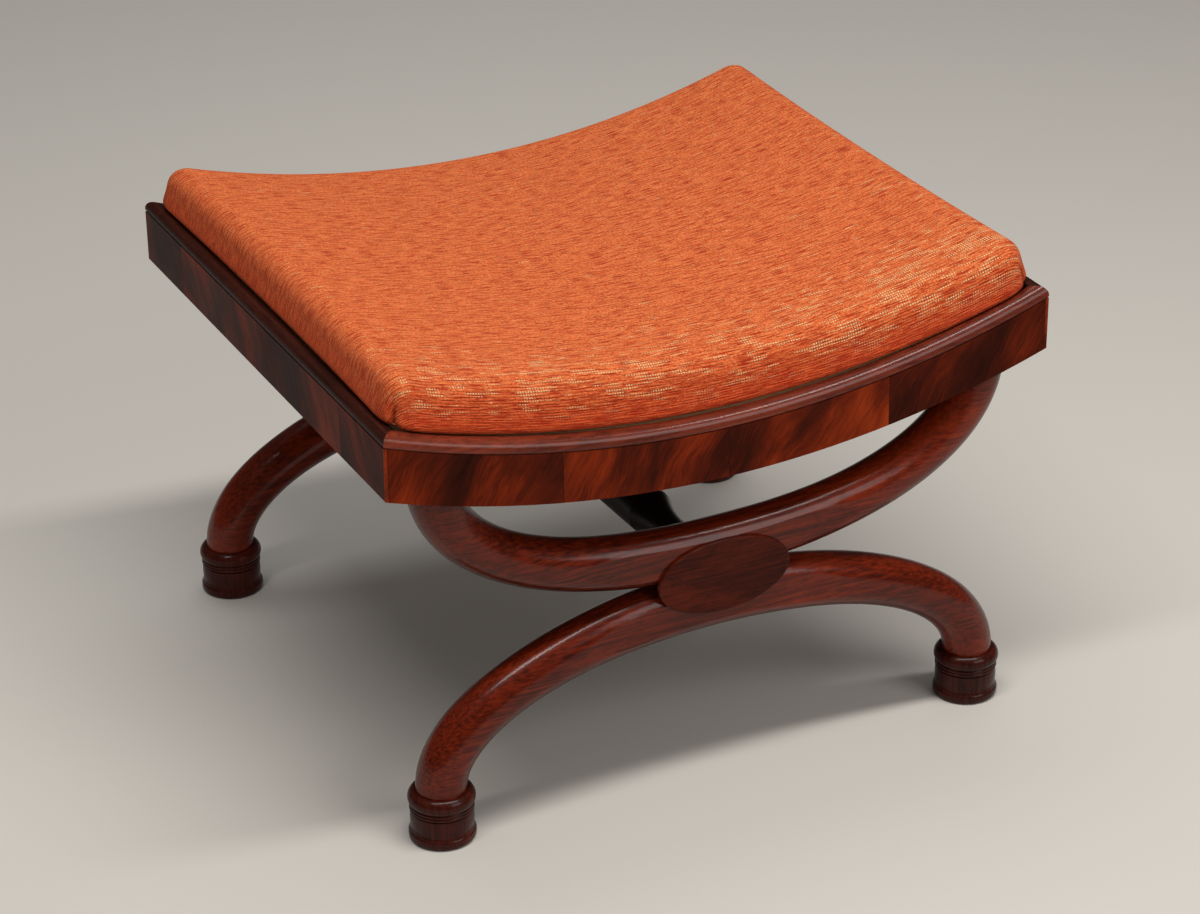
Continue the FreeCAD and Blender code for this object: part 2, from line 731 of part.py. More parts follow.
# Oval bosses over the crossings
arc_out_y = leg_y + cell("arc_flat_depth") / 2
for side, y_sign in SIDES.items():
    name = f"boss_{side}"
    oval = doc.addObject("Part::Ellipse", name + "_oval")
    bind(oval, "MajorRadius", cell("boss_length") / 2)
    bind(oval, "MinorRadius", cell("boss_height") / 2)
    place(oval, 0.0, arc_out_y * y_sign, crossing + cell("boss_rise"), TOWARDS["y", y_sign])
    disc = doc.addObject("Part::Extrusion", name + "_disc")
    disc.Base = oval
    disc.DirMode = "Custom"
    disc.Dir = FreeCAD.Vector(0, y_sign, 0)
    disc.Solid = True
    bind(disc, "LengthFwd", cell("boss_thickness"))
    doc.recompute()
    outer_y = arc_out_y.number + cell("boss_thickness").number
    rim_edges = edges_where(disc.Shape, lambda e: abs(abs(edge_middle(e).Y) - outer_y) < 0.01
                            and e.Length > cell("boss_length").number)
    eased = doc.addObject("Part::Fillet", name)
    eased.Base = disc
    round_over = cell("boss_round").number
    eased.Edges = [(i, round_over, round_over) for i in rim_edges]
    finish(name, eased)

CROWN_STEPS = 8
LEAST_CROWN = 0.5


def cushion_plan(inset):
    """The cushion's plan, drawn in between rounded corners, as an upright prism."""
    reach_x = seat_x.number - inset
    reach_y = seat_y.number - inset
    draw = cell("cushion_draw_in").number
    height = (high_z - low_z).number
    corners = [(-reach_x, -reach_y), (reach_x, -reach_y), (reach_x, reach_y), (-reach_x, reach_y)]
    middles = [(0, draw - reach_y), (reach_x - draw, 0), (0, reach_y - draw), (draw - reach_x, 0)]
    edges = []
    for index, middle in enumerate(middles):
        first = FreeCAD.Vector(*corners[index], low_z.number)
        last = FreeCAD.Vector(*corners[(index + 1) % 4], low_z.number)
        edges.append(Part.Arc(first, FreeCAD.Vector(*middle, low_z.number), last).toShape())
    prism = Part.Face(Part.Wire(edges)).extrude(FreeCAD.Vector(0, 0, height))
    uprights = [e for e in prism.Edges if abs(e.Vertexes[0].Z - e.Vertexes[-1].Z) > height / 2]
    return prism.makeFillet(cell("cushion_corner_round").number - inset, uprights)


def cushion_top(inset):
    """Everything under the crowned top of the cushion."""
    reach_x = seat_x.number - inset
    wide = seat_y.number + SPARE
    rail_top = cell("corner_underside").number + cell("rail_height").number
    end_top = rail_top + cell("cushion_end_rise").number - inset
    middle_top = rail_top - sag.number + cell("cushion_middle_rise").number - inset
    top_sag = end_top - middle_top
    top_radius = (reach_x ** 2 + top_sag ** 2) / (2 * top_sag)
    floor = low_z.number - SPARE
    sections = []
    for step in range(CROWN_STEPS + 1):
        along = (reach_x + SPARE) * (2 * step / CROWN_STEPS - 1)
        edge_z = middle_top + top_radius - math.sqrt(top_radius ** 2 - along ** 2)
        crown = LEAST_CROWN + cell("cushion_crown").number * max(0.0, 1 - (along / reach_x) ** 2)
        corners = [FreeCAD.Vector(along, -wide, edge_z), FreeCAD.Vector(along, wide, edge_z),
                   FreeCAD.Vector(along, wide, floor), FreeCAD.Vector(along, -wide, floor)]
        peak = FreeCAD.Vector(along, 0, edge_z + crown)
        top = Part.Arc(corners[0], peak, corners[1]).toShape()
        lines = [Part.LineSegment(corners[i], corners[(i + 1) % 4]).toShape() for i in (1, 2, 3)]
        sections.append(Part.Wire([top, *lines]))
    return Part.makeLoft(sections, True, False)


def above(rise):
    """Everything above the saddle curve at the given rise, as a plain shape."""
    start = FreeCAD.Vector(0, -(half_depth + SPARE).number, saddle_axis.number)
    return Part.makeCylinder((saddle_radius - rise).number, (half_depth + SPARE).number * 2,
                             start, FreeCAD.Vector(0, 1, 0))


def rises(edge, bottom):
    """How high an edge's ends and middle lie over a saddle curve."""
    return [v.Z - level(v.X, bottom) for v in [*edge.Vertexes, edge_middle(edge)]]


def cushion(inset, bottom):
    """The upholstered form: a plug in the frame's well under a fuller, crowned, rounded top."""
    bulge = cell("cushion_bulge").number
    lap = rim_top + cell("cushion_lap_gap") + inset
    lap_round = cell("cushion_lap_round").number - inset
    block = cushion_plan(inset - bulge).common(cushion_top(inset)).common(above(lap)).removeSplitter()
    over = min(cell("cushion_edge_round").number,
               cell("cushion_corner_round").number + bulge - LEAST_CROWN) - inset
    block = block.makeFillet(over, [e for e in block.Edges if min(rises(e, lap)) > over])
    lower_edges = [e for e in block.Edges if max(map(abs, rises(e, lap))) < 0.05]
    block = block.makeFillet(lap_round, lower_edges)
    plug = cushion_plan(inset).common(above(bottom)).cut(above(lap + lap_round))
    return block.fuse(plug).removeSplitter()


def form(name, inset, bottom):
    thing = doc.addObject("Part::Feature", name)
    thing.Shape = cushion(inset, bottom)
    return thing


# The upholstered form, outside and inside its cloth
outside = form("cushion_outside", 0.0, under_seat)
inside = form("cushion_inside", cloth.number, slip_bottom)
hem_x = seat_x - cell("cover_hem")
hem_y = seat_y - cell("cover_hem")
hem_window = saddle_piece("hem_window", (-hem_x, -hem_y), (hem_x, hem_y), under_seat - 1, slip_bottom + 1)
finish("seat_cover", cut("seat_cover", outside, fuse("cover_hollow", inside, hem_window)))

# The slip seat's frame: curved long rails, straight short rails, dowelled together
slip_in_x = slip_x - cell("slip_rail_width")
slip_in_y = slip_y - cell("slip_rail_width")
for side, y_sign in SIDES.items():
    y_low, y_high = mirrored(slip_in_y, slip_y, y_sign)
    plain = saddle_piece(f"slip_rail_{side}_plain", (-slip_x, y_low), (slip_x, y_high), slip_bottom, slip_top)
    finish(f"slip_rail_{side}", common(f"slip_rail_{side}", plain, inside))
for end, x_sign in ENDS.items():
    x_low, x_high = mirrored(slip_in_x, slip_x, x_sign)
    plain = saddle_piece(f"slip_rail_{end}_plain", (x_low, -slip_in_y), (x_high, slip_in_y),
                         slip_bottom, slip_top)
    finish(f"slip_rail_{end}", common(f"slip_rail_{end}", plain, inside))
slip_dowels = []
for side, y_sign in SIDES.items():
    for end, x_sign in ENDS.items():
        for place_on in (-1, 1):
            along = slip_in_x + (cell("slip_rail_width") - cell("cushion_draw_in")) / 2
            across = along + cell("slip_dowel_spacing") / 2 * place_on
            mid = saddle_radius - (slip_bottom + slip_top) / 2
            height = saddle_axis - root(mid * mid - across * across)
            start = slip_in_y * y_sign - cell("slip_dowel_length") / 2
            slip_dowels.append(cylinder(f"slip_dowel_{side}_{end}_{place_on + 1}",
                                        cell("slip_dowel_diameter") / 2, cell("slip_dowel_length"),
                                        (across * x_sign, start, height), ALONG_Y))
slip_group = doc.addObject("Part::Compound", "slip_dowels")
slip_group.Links = slip_dowels
finish("slip_dowels", slip_group)

# Webbing straps from front to back, hessian over them, black cloth beneath
straps = []
count = int(cell("strap_count").number)
strap_half = cell("strap_width") / 2
strap_y = slip_y - cell("cushion_edge_round") / 2
last_strap = slip_in_x - cell("strap_edge_gap") - strap_half
strap_pitch = last_strap * 2 / (count - 1)
for index in range(count):
    middle = strap_pitch * (index - (count - 1) / 2)
    name = f"webbing_strap_{index + 1}"
    straps.append(finish(name, saddle_piece(name, (middle - strap_half, -strap_y),
                                            (middle + strap_half, strap_y), slip_top, strap_top)))
hessian_x = slip_x - cell("cushion_corner_round")
hessian = finish("hessian", saddle_piece("hessian", (-hessian_x, -strap_y), (hessian_x, strap_y),
                                         hessian_bottom, hessian_top))
under_x = seat_x - cell("cover_hem") - cell("under_cloth_margin")
under_y = seat_y - cell("cover_hem") - cell("under_cloth_margin")
finish("under_cloth", saddle_piece("under_cloth", (-under_x, -under_y), (under_x, under_y),
                                   slip_bottom - cell("under_cloth_thickness"), slip_bottom))


# The stuffing, from the slip frame and the hessian up to the cloth
stuffing = common("stuffing", inside, saddle_solid("stuffing_floor", slip_top))
finish("seat_pad", cut("seat_pad", stuffing, fuse("pad_hollow", *straps, hessian)))


def saddle_turn(x):
    """The rotation that lays a piece on the saddle at one x."""
    slope = math.degrees(math.asin(x / saddle_radius.number))
    return FreeCAD.Rotation(FreeCAD.Vector(0, 1, 0), -slope)


def tack():
    """A webbing tack, point down, its head's underside at the origin."""
    head = Part.makeCylinder(cell("tack_head_diameter").number / 2, cell("tack_head_thickness").number)
    shank = Part.makeCone(cell("tack_shank_diameter").number / 2, 0.2, cell("tack_length").number,
                          FreeCAD.Vector(0, 0, 0), FreeCAD.Vector(0, 0, -1))
    return head.fuse(shank)


def staple():
    """A staple, legs up, the top of its crown at the origin."""
    wire = cell("staple_wire").number
    width = cell("staple_width").number
    crown = Part.makeBox(width, wire, wire / 2, FreeCAD.Vector(-width / 2, -wire / 2, -wire / 2))
    leg = Part.makeBox(wire, wire, cell("staple_leg").number, FreeCAD.Vector(-width / 2, -wire / 2, 0))
    far = leg.copy()
    far.translate(FreeCAD.Vector(width - wire, 0, 0))
    return crown.fuse(leg).fuse(far)


def laid(shape, x, y, rise, quarter_turn=False):
    """A copy of a shape, set on a saddle curve at x and y."""
    copy = shape.copy()
    turn = saddle_turn(x)
    if quarter_turn:
        turn = turn * FreeCAD.Rotation(FreeCAD.Vector(0, 0, 1), 90)
    copy.Placement = FreeCAD.Placement(FreeCAD.Vector(x, y, level(x, rise)), turn)
    return copy


tacks = []
for index in range(count):
    middle = strap_pitch.number * (index - (count - 1) / 2)
    for y_sign in (-1, 1):
        for step in (-1, 0, 1):
            x = middle + step * cell("strap_width").number * 0.32
            y = (strap_y.number - 10 - 6 * (step % 2)) * y_sign
            tacks.append(laid(tack(), x, y, strap_top))
tack_group = doc.addObject("Part::Feature", "webbing_tacks")
tack_group.Shape = Part.makeCompound(tacks)
finish("webbing_tacks", tack_group)

staples = []
hem_in = cell("cover_hem").number - cell("staple_wire").number * 4
line_x = seat_x.number - hem_in
line_y = seat_y.number - hem_in
pitch = cell("staple_pitch").number
for y_sign in (-1, 1):
    places = int(2 * (line_x - pitch / 2) // pitch)
    for index in range(places + 1):
        x = pitch * (index - places / 2)
        staples.append(laid(staple(), x, line_y * y_sign, under_seat))
for x_sign in (-1, 1):
    places = int(2 * (line_y - pitch / 2) // pitch)
    for index in range(places + 1):
        y = pitch * (index - places / 2)
        staples.append(laid(staple(), line_x * x_sign, y, under_seat, True))
staple_group = doc.addObject("Part::Feature", "cover_staples")
staple_group.Shape = Part.makeCompound(staples)
finish("cover_staples", staple_group)

doc.recompute()
faults = []
for thing in doc.Objects:
    if "Invalid" in thing.State or "Error" in thing.State:
        faults.append(f"{thing.Name}: {thing.State}")
for name, thing in finished.items():
    shape = thing.Shape
    if shape.isNull() or not shape.isValid() or not shape.Solids:
        faults.append(f"{name}: no valid solid")
if faults:
    raise SystemExit("not built: " + "; ".join(faults))
for name, thing in finished.items():
    thing.Shape.exportStep(f"parts/{name}.step")
    print(name, len(thing.Shape.Solids), round(thing.Shape.Volume / 1000, 1), "cm3")
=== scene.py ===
import math

import bpy
import numpy as np
from mathutils import Matrix, Vector


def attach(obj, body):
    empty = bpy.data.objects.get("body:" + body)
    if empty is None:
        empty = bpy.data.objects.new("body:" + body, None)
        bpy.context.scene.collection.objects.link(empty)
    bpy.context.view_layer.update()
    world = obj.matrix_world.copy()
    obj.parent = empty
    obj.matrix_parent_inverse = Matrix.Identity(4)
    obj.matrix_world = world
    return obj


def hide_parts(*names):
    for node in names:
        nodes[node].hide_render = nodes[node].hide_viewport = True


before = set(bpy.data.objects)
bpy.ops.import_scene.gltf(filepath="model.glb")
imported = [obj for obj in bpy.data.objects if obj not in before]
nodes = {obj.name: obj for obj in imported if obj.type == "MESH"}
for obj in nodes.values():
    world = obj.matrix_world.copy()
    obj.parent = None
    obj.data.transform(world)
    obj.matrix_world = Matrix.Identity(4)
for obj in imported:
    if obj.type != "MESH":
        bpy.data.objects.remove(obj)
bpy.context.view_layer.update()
scene = bpy.context.scene
MM = 0.001

# Sizes of the seat in millimetres, as the part has them
HALF_LENGTH = 305.0
SEAT_X = 291.0
SEAT_Y = 254.0
CORNER_UNDERSIDE = 336.5
SEAT_SAG = 49.5
RAIL_HEIGHT = 44.0
RIM_TOP = 56.0
UNDER_SEAT = 44.35
CLOTH = 1.6
SLIP_TOP = 60.0
HESSIAN_TOP = 63.6
STUFFING_GAP = 0.3
COVER_HEM = 31.0
UNDER_CLOTH_INSET = 32.0
MIDDLE_RISE = 60.0
END_RISE = 57.5
CROWN = 9.0
BULGE = 6.0
DRAW_IN = 5.0
SADDLE_RADIUS = (HALF_LENGTH ** 2 + SEAT_SAG ** 2) / (2 * SEAT_SAG)
SADDLE_AXIS = CORNER_UNDERSIDE - SEAT_SAG + SADDLE_RADIUS


def saddle(x, rise):
    """The height of the saddle curve that lies a given rise over the rails' underside."""
    return SADDLE_AXIS - np.sqrt((SADDLE_RADIUS - rise) ** 2 - x ** 2)


# A finish is built by adding nodes and linking them
class Finish:
    """A material with its shader, and short ways to add the nodes that feed it."""

    def __init__(self, name):
        self.material = bpy.data.materials.new(name)
        self.material.use_nodes = True
        self.tree = self.material.node_tree
        self.shader = next(n for n in self.tree.nodes if n.type == "BSDF_PRINCIPLED")

    def add(self, kind, inputs=None, **settings):
        node = self.tree.nodes.new("ShaderNode" + kind)
        for key, value in settings.items():
            setattr(node, key, value)
        for key, value in (inputs or {}).items():
            self.feed(node.inputs[key], value)
        return node

    def feed(self, socket, value):
        if isinstance(value, bpy.types.NodeSocket):
            self.tree.links.new(value, socket)
        else:
            socket.default_value = value

    def set(self, **inputs):
        for key, value in inputs.items():
            self.feed(self.shader.inputs[key.replace("_", " ")], value)

    def noise(self, at, scale=1.0, detail=2.0, rough=0.5, bend=0.0, colour=False):
        node = self.add("TexNoise", {"Vector": at, "Scale": scale, "Detail": detail,
                                     "Roughness": rough, "Distortion": bend})
        return node.outputs[1 if colour else 0]

    def cells(self, at, scale):
        """How far each place is from the nearest of some scattered points."""
        node = self.add("TexVoronoi", {"Vector": at, "Scale": scale, "Randomness": 1.0})
        return node.outputs["Distance"]

    def calc(self, kind, *values):
        """One step of arithmetic."""
        node = self.add("Math", operation=kind)
        for socket, value in zip(node.inputs, values):
            self.feed(socket, value)
        return node.outputs[0]

    def spread(self, value, low, high, to_low=0.0, to_high=1.0):
        """Stretches the part of a value between two limits over a new range, and clamps it."""
        node = self.add("MapRange", {0: value, 1: low, 2: high, 3: to_low, 4: to_high})
        return node.outputs[0]

    def tones(self, value, *stops):
        """A colour for each place along a value. Colours are written as 0 to 255."""
        node = self.add("ValToRGB", {0: value})
        ramp = node.color_ramp
        while len(ramp.elements) < len(stops):
            ramp.elements.new(0.5)
        for element, (place, colour) in zip(ramp.elements, stops):
            element.position = place
            element.color = tint(colour)
        return node.outputs[0]

    def mix(self, share, first, second, how="MIX"):
        node = self.add("Mix", data_type="RGBA", blend_type=how)
        for index, value in ((0, share), (6, first), (7, second)):
            self.feed(node.inputs[index], value)
        return node.outputs[2]

    def bump(self, height, distance, strength=1.0, over=None):
        inputs = {"Height": height, "Distance": distance, "Strength": strength}
        if over is not None:
            inputs["Normal"] = over
        return self.add("Bump", inputs).outputs[0]


def tint(colour):
    """A colour of 0 to 255, as the shader wants it."""
    def linear(part):
        part = part / 255
        return part / 12.92 if part <= 0.04045 else ((part + 0.055) / 1.055) ** 2.4
    return (*[linear(part) for part in colour], 1.0)


def darker(colour, share):
    """The same colour, darker."""
    return [part * share for part in colour]


def grain_place(finish, axis):
    """Coordinates whose first direction runs along the grain."""
    turns = {"x": (0, 0, 0), "y": (0, 0, math.pi / 2), "z": (0, math.pi / 2, 0)}
    start = finish.add("TexCoord").outputs["Object"]
    return finish.add("Mapping", {"Vector": start, "Rotation": turns[axis]}).outputs[0]


def stretch(finish, at, along, across):
    return finish.add("Mapping", {"Vector": at, "Scale": (along, across, across)}).outputs[0]


def polished_wood(name, axis, dark, middle, light, shine=0.2, coat=0.25, figure=14.0, pores=0.5):
    """Polished mahogany: soft figure, long fibres, short dark pores and a thin shellac coat."""
    finish = Finish(name)
    at = grain_place(finish, axis)
    cloud = finish.noise(stretch(finish, at, figure * 0.3, figure), 1.0, 4.0, 0.55, 0.8)
    colour = finish.tones(cloud, (0.3, dark), (0.52, middle), (0.74, light))
    fibre = finish.noise(stretch(finish, at, 12.0, 420.0), 1.0, 3.0, 0.6)
    colour = finish.mix(0.4, colour, finish.tones(fibre, (0.36, dark), (0.64, light)))
    mottle = finish.noise(stretch(finish, at, 60.0, 190.0), 1.0, 3.0, 0.6)
    colour = finish.mix(finish.spread(mottle, 0.52, 0.7, 0.0, 0.4), colour, tint(darker(dark, 0.6)))
    pore = finish.noise(stretch(finish, at, 150.0, 1700.0), 1.0, 1.0, 0.5)
    pore = finish.spread(pore, 0.62, 0.7)
    colour = finish.mix(finish.calc("MULTIPLY", pore, pores), colour, tint(darker(dark, 0.35)))
    # a few small dark dents
    knock = finish.cells(at, 26.0)
    knock = finish.calc("MULTIPLY", finish.spread(knock, 0.05, 0.03),
                       finish.spread(finish.noise(at, 14.0, 0.0), 0.52, 0.55))
    colour = finish.mix(finish.calc("MULTIPLY", knock, 0.85), colour, tint((22, 10, 10)))
    # painted shade: the colour is painted darker where the wood turns away from view
    painted_edge_shade = finish.add("LayerWeight", {"Blend": 0.5}).outputs["Facing"]
    colour = finish.mix(finish.spread(painted_edge_shade, 0.5, 0.95, 0.0, 0.75), colour, tint(darker(dark, 0.4)))
    haze = finish.noise(at, 9.0, 3.0, 0.6)
    finish.set(Base_Color=colour, Roughness=finish.spread(haze, 0.3, 0.75, shine, shine + 0.16))
    finish.set(Coat_Weight=coat, Coat_Roughness=0.18, Coat_IOR=1.42, Specular_IOR_Level=0.06)
    wave = finish.noise(at, 22.0, 2.0, 0.4)
    level = finish.bump(wave, 0.0012, 0.35)
    level = finish.bump(pore, -0.0001, 0.5, level)
    finish.set(Normal=level)
    return finish.material


def flame_veneer(name, axis, sheets, lean, painted_shade=1.0):
    """Figured veneer: feathered orange-red tongues that lean over a dark ground, laid in sheets."""
    finish = Finish(name)
    start = finish.add("TexCoord").outputs["Object"]
    turn = (0, 0, math.pi / 2) if axis == "y" else (0, 0, 0)
    at = finish.add("Mapping", {"Vector": start, "Rotation": turn}).outputs[0]
    parts = finish.add("SeparateXYZ", {0: at})
    along = parts.outputs[0]
    # each sheet takes its own place in the figure
    sheet = finish.calc("FLOOR", finish.calc("DIVIDE", along, sheets))
    own = finish.add("TexWhiteNoise", {"W": sheet}, noise_dimensions="1D")
    shift = finish.add("CombineXYZ", {0: finish.calc("MULTIPLY", own.outputs[0], 7.0), 2: own.outputs[0]})
    moved = finish.add("VectorMath", {0: at, 1: shift.outputs[0]}, operation="ADD").outputs[0]
    warp = finish.noise(moved, 11.0, 3.0, 0.55, 0.0, colour=True)
    warp = finish.add("VectorMath", {0: warp, 1: (0.5, 0.5, 0.5)}, operation="SUBTRACT").outputs[0]
    warp = finish.add("VectorMath", {0: warp, "Scale": 0.045}, operation="SCALE").outputs[0]
    bent = finish.add("VectorMath", {0: moved, 1: warp}, operation="ADD").outputs[0]
    leaning = finish.add("Mapping", {"Vector": bent, "Rotation": (0, lean, 0)}).outputs[0]
    tongue = finish.noise(finish.add("Mapping", {"Vector": leaning, "Scale": (8, 1, 26)}).outputs[0],
                          1.0, 4.0, 0.58, 0.4)
    feather = finish.noise(finish.add("Mapping", {"Vector": leaning, "Scale": (34, 1, 420)}).outputs[0],
                           1.0, 4.0, 0.62, 0.3)
    patch = finish.noise(finish.add("Mapping", {"Vector": moved, "Scale": (9, 1, 5)}).outputs[0],
                         1.0, 2.0, 0.5)
    glow = finish.calc("ADD", finish.calc("MULTIPLY", tongue, 0.55), finish.calc("MULTIPLY", feather, 0.2))
    glow = finish.calc("ADD", glow, finish.calc("MULTIPLY", patch, 0.6))
    glow = finish.calc("ADD", glow, finish.calc("MULTIPLY", own.outputs[0], 0.06))
    colour = finish.tones(glow, (0.52, (42, 13, 7)), (0.62, (62, 20, 9)), (0.7, (90, 28, 11)),
                          (0.78, (126, 42, 15)), (0.9, (158, 60, 22)))
    # painted shade: a share below one darkens the whole veneer, for the sides that face away from the light
    if painted_shade != 1.0:
        colour = finish.mix(1.0, colour, (painted_shade, painted_shade, painted_shade, 1.0), "MULTIPLY")
    fibre = finish.noise(finish.add("Mapping", {"Vector": leaning, "Scale": (60, 400, 1500)}).outputs[0],
                         1.0, 2.0, 0.5)
    colour = finish.mix(finish.spread(fibre, 0.58, 0.7, 0.0, 0.45), colour, tint((30, 12, 10)))
    joint = finish.calc("ABSOLUTE", finish.calc("SUBTRACT", finish.calc("FRACT", finish.calc(
        "ADD", finish.calc("DIVIDE", along, sheets), 0.5)), 0.5))
    colour = finish.mix(finish.spread(joint, 0.004, 0.001, 0.0, 0.6), colour, tint((26, 12, 10)))
    haze = finish.noise(at, 8.0, 3.0, 0.6)
    finish.set(Base_Color=colour, Roughness=finish.spread(haze, 0.3, 0.75, 0.26, 0.4))
    finish.set(Coat_Weight=0.04, Coat_Roughness=0.2, Coat_IOR=1.4, Specular_IOR_Level=0.02)
    wave = finish.noise(at, 18.0, 2.0, 0.4)
    finish.set(Normal=finish.bump(fibre, -0.00006, 0.4, finish.bump(wave, 0.001, 0.3)))
    return finish.material


# The chenille's rows in metres of cloth
ROW_PITCH = 0.0026
ROW_WANDER = 0.004
SQUARE_PITCH = 0.0023
PILE_HEIGHT = 0.0009


def chenille(name):
    """Ribbed chenille: rows of pile with long slubs in reds, oranges and cream."""
    finish = Finish(name)
    flat = finish.add("TexCoord").outputs["UV"]
    wander = finish.noise(finish.add("Mapping", {"Vector": flat, "Scale": (5, 9, 1)}).outputs[0],
                          1.0, 1.0, 0.5)
    wander = finish.calc("MULTIPLY", finish.calc("SUBTRACT", wander, 0.5), ROW_WANDER)
    split = finish.add("SeparateXYZ", {0: flat})
    width, depth = split.outputs[0], split.outputs[1]
    row = finish.calc("ADD", depth, wander)
    at = finish.add("CombineXYZ", {0: width, 1: row}).outputs[0]

    def laid(along, over, shift=0.0):
        return finish.add("Mapping", {"Vector": at, "Scale": (along, over, 1),
                                      "Location": (shift, shift * 3, 0)}).outputs[0]

    def wave(value, pitch):
        return finish.calc("SINE", finish.calc("MULTIPLY", value, 2 * math.pi / pitch))

    # slubs one row deep, each with its own shade, under a short fine pile
    slub = finish.noise(laid(80, 520), 1.0, 2.0, 0.55)
    pile = finish.noise(laid(430, 780, 9.0), 1.0, 2.0, 0.65)
    shade = finish.calc("ADD", finish.calc("MULTIPLY", slub, 0.35), finish.calc("MULTIPLY", pile, 0.65))
    colour = finish.tones(shade, (0.4, (178, 64, 28)), (0.47, (206, 90, 44)), (0.53, (219, 108, 58)),
                          (0.61, (226, 132, 80)))
    dot = finish.noise(laid(620, 620, 27.0), 1.0, 1.0, 0.5)
    # painted shade: the cover is painted deeper and darker red where it rolls over and goes down the sides
    down_y = finish.spread(finish.calc("ABSOLUTE", depth), 0.244, 0.286)
    down_x = finish.spread(finish.calc("ABSOLUTE", width), 0.28, 0.322)
    down = finish.calc("MAXIMUM", down_y, down_x)
    dot = finish.calc("MULTIPLY", finish.spread(dot, 0.56, 0.66, 0.0, 0.55), finish.spread(down, 0.8, 0.2))
    colour = finish.mix(dot, colour, tint((196, 146, 88)))
    colour = finish.mix(finish.calc("MULTIPLY", down, 0.6), colour, tint((190, 52, 20)))
    # thin dark red dashes between the rows
    dash = finish.noise(laid(58, 740, 15.0), 1.0, 1.0, 0.4)
    dash = finish.calc("ADD", dash, finish.calc("MULTIPLY", down, 0.05))
    colour = finish.mix(finish.spread(dash, 0.56, 0.63, 0.0, 0.85), colour, tint((166, 40, 16)))
    # cream yarn comes up in rows of small squares, most of it along the front
    run = finish.noise(laid(38, 170, 21.0), 1.0, 2.0, 0.6)
    where = finish.noise(laid(12, 26, 31.0), 1.0, 2.0, 0.5)
    front = finish.spread(depth, -0.15, -0.225, 0.0, 0.14)
    right = finish.calc("MULTIPLY", finish.spread(width, 0.05, 0.27, 0.0, 0.07),
                       finish.spread(depth, 0.12, -0.1))
    lift = finish.calc("ADD", finish.calc("MULTIPLY", where, 0.25), finish.calc("ADD", front, right))
    cream = finish.spread(finish.calc("ADD", run, lift), 0.81, 0.86)
    tick = finish.calc("MULTIPLY", finish.spread(wave(width, SQUARE_PITCH), -0.5, 0.1),
                      finish.spread(wave(row, ROW_PITCH), -0.4, 0.2))
    tick = finish.calc("MULTIPLY", tick, finish.spread(pile, 0.36, 0.5, 0.4, 1.0))
    tick = finish.calc("MULTIPLY", tick, finish.spread(depth, -0.288, -0.266))
    cream = finish.calc("MULTIPLY", finish.calc("MULTIPLY", cream, tick), finish.spread(down_x, 0.6, 0.1))
    colour = finish.mix(finish.calc("MULTIPLY", cream, 0.9), colour, tint((242, 208, 150)))
    # painted shade: the tucks at the corners are painted dark, standing in for the shade in their creases
    fold_shade = finish.add("Attribute", attribute_name="fold_shade").outputs["Fac"]
    colour = finish.mix(finish.spread(fold_shade, 0.15, 0.9, 0.0, 0.85), colour, tint((110, 26, 14)))
    finish.set(Base_Color=colour, Roughness=0.95)
    finish.set(Sheen_Weight=0.12, Sheen_Roughness=0.5, Sheen_Tint=tint((255, 180, 130)))
    finish.set(Specular_IOR_Level=0.12)
    height = finish.calc("ADD", finish.calc("MULTIPLY", wave(row, ROW_PITCH), 0.3),
                         finish.calc("MULTIPLY", slub, 0.7))
    height = finish.calc("ADD", height, finish.calc("ADD", finish.calc("MULTIPLY", cream, 0.3), pile))
    height = finish.calc("SUBTRACT", height, finish.spread(dash, 0.55, 0.65, 0.0, 0.7))
    finish.set(Normal=finish.bump(height, PILE_HEIGHT, 0.8))
    return finish.material


def woven(name, warp_colour, weft_colour, pitch, stripe=None):
    """A plain weave, over and under at the given pitch, on the piece's own places."""
    finish = Finish(name)
    parts = finish.add("SeparateXYZ", {0: finish.add("TexCoord").outputs["Object"]})
    turns = 2 * math.pi / pitch
    one = finish.calc("SINE", finish.calc("MULTIPLY", parts.outputs[0], turns))
    two = finish.calc("SINE", finish.calc("MULTIPLY", parts.outputs[1], turns))
    over = finish.calc("MULTIPLY", one, two)
    fleck = finish.noise(finish.add("TexCoord").outputs["Object"], 300.0, 3.0, 0.6)
    mixed = finish.mix(finish.spread(over, -0.3, 0.3), tint(warp_colour), tint(weft_colour))
    colour = finish.mix(finish.spread(fleck, 0.3, 0.75, 0.0, 0.4), mixed,
                        tint(darker(warp_colour, 0.6)))
    if stripe:
        band = finish.calc("ABSOLUTE", finish.calc("SINE", finish.calc("MULTIPLY", parts.outputs[0], 90.0)))
        colour = finish.mix(finish.spread(band, 0.94, 0.97), colour, tint(stripe))
    finish.set(Base_Color=colour, Roughness=0.9, Specular_IOR_Level=0.2)
    finish.set(Normal=finish.bump(over, 0.0002, 0.8))
    return finish.material


def plain_wood(name, axis, dark, light):
    """Unpolished working timber, sawn and planed."""
    finish = Finish(name)
    at = grain_place(finish, axis)
    ring = finish.noise(stretch(finish, at, 5.0, 90.0), 1.0, 3.0, 0.5, 0.6)
    fleck = finish.noise(stretch(finish, at, 60.0, 700.0), 1.0, 2.0, 0.5)
    colour = finish.mix(0.4, finish.tones(ring, (0.3, dark), (0.7, light)),
                        finish.tones(fleck, (0.4, dark), (0.6, light)))
    finish.set(Base_Color=colour, Roughness=0.72)
    finish.set(Normal=finish.bump(fleck, 0.0001, 0.5))
    return finish.material


def steel(name, colour):
    """Dull wire and screw steel with a little tarnish."""
    finish = Finish(name)
    at = finish.add("TexCoord").outputs["Object"]
    spot = finish.noise(at, 260.0, 3.0, 0.6)
    finish.set(Base_Color=finish.tones(spot, (0.35, darker(colour, 0.55)), (0.65, colour)))
    finish.set(Metallic=1.0, Roughness=finish.spread(spot, 0.3, 0.7, 0.3, 0.55))
    return finish.material


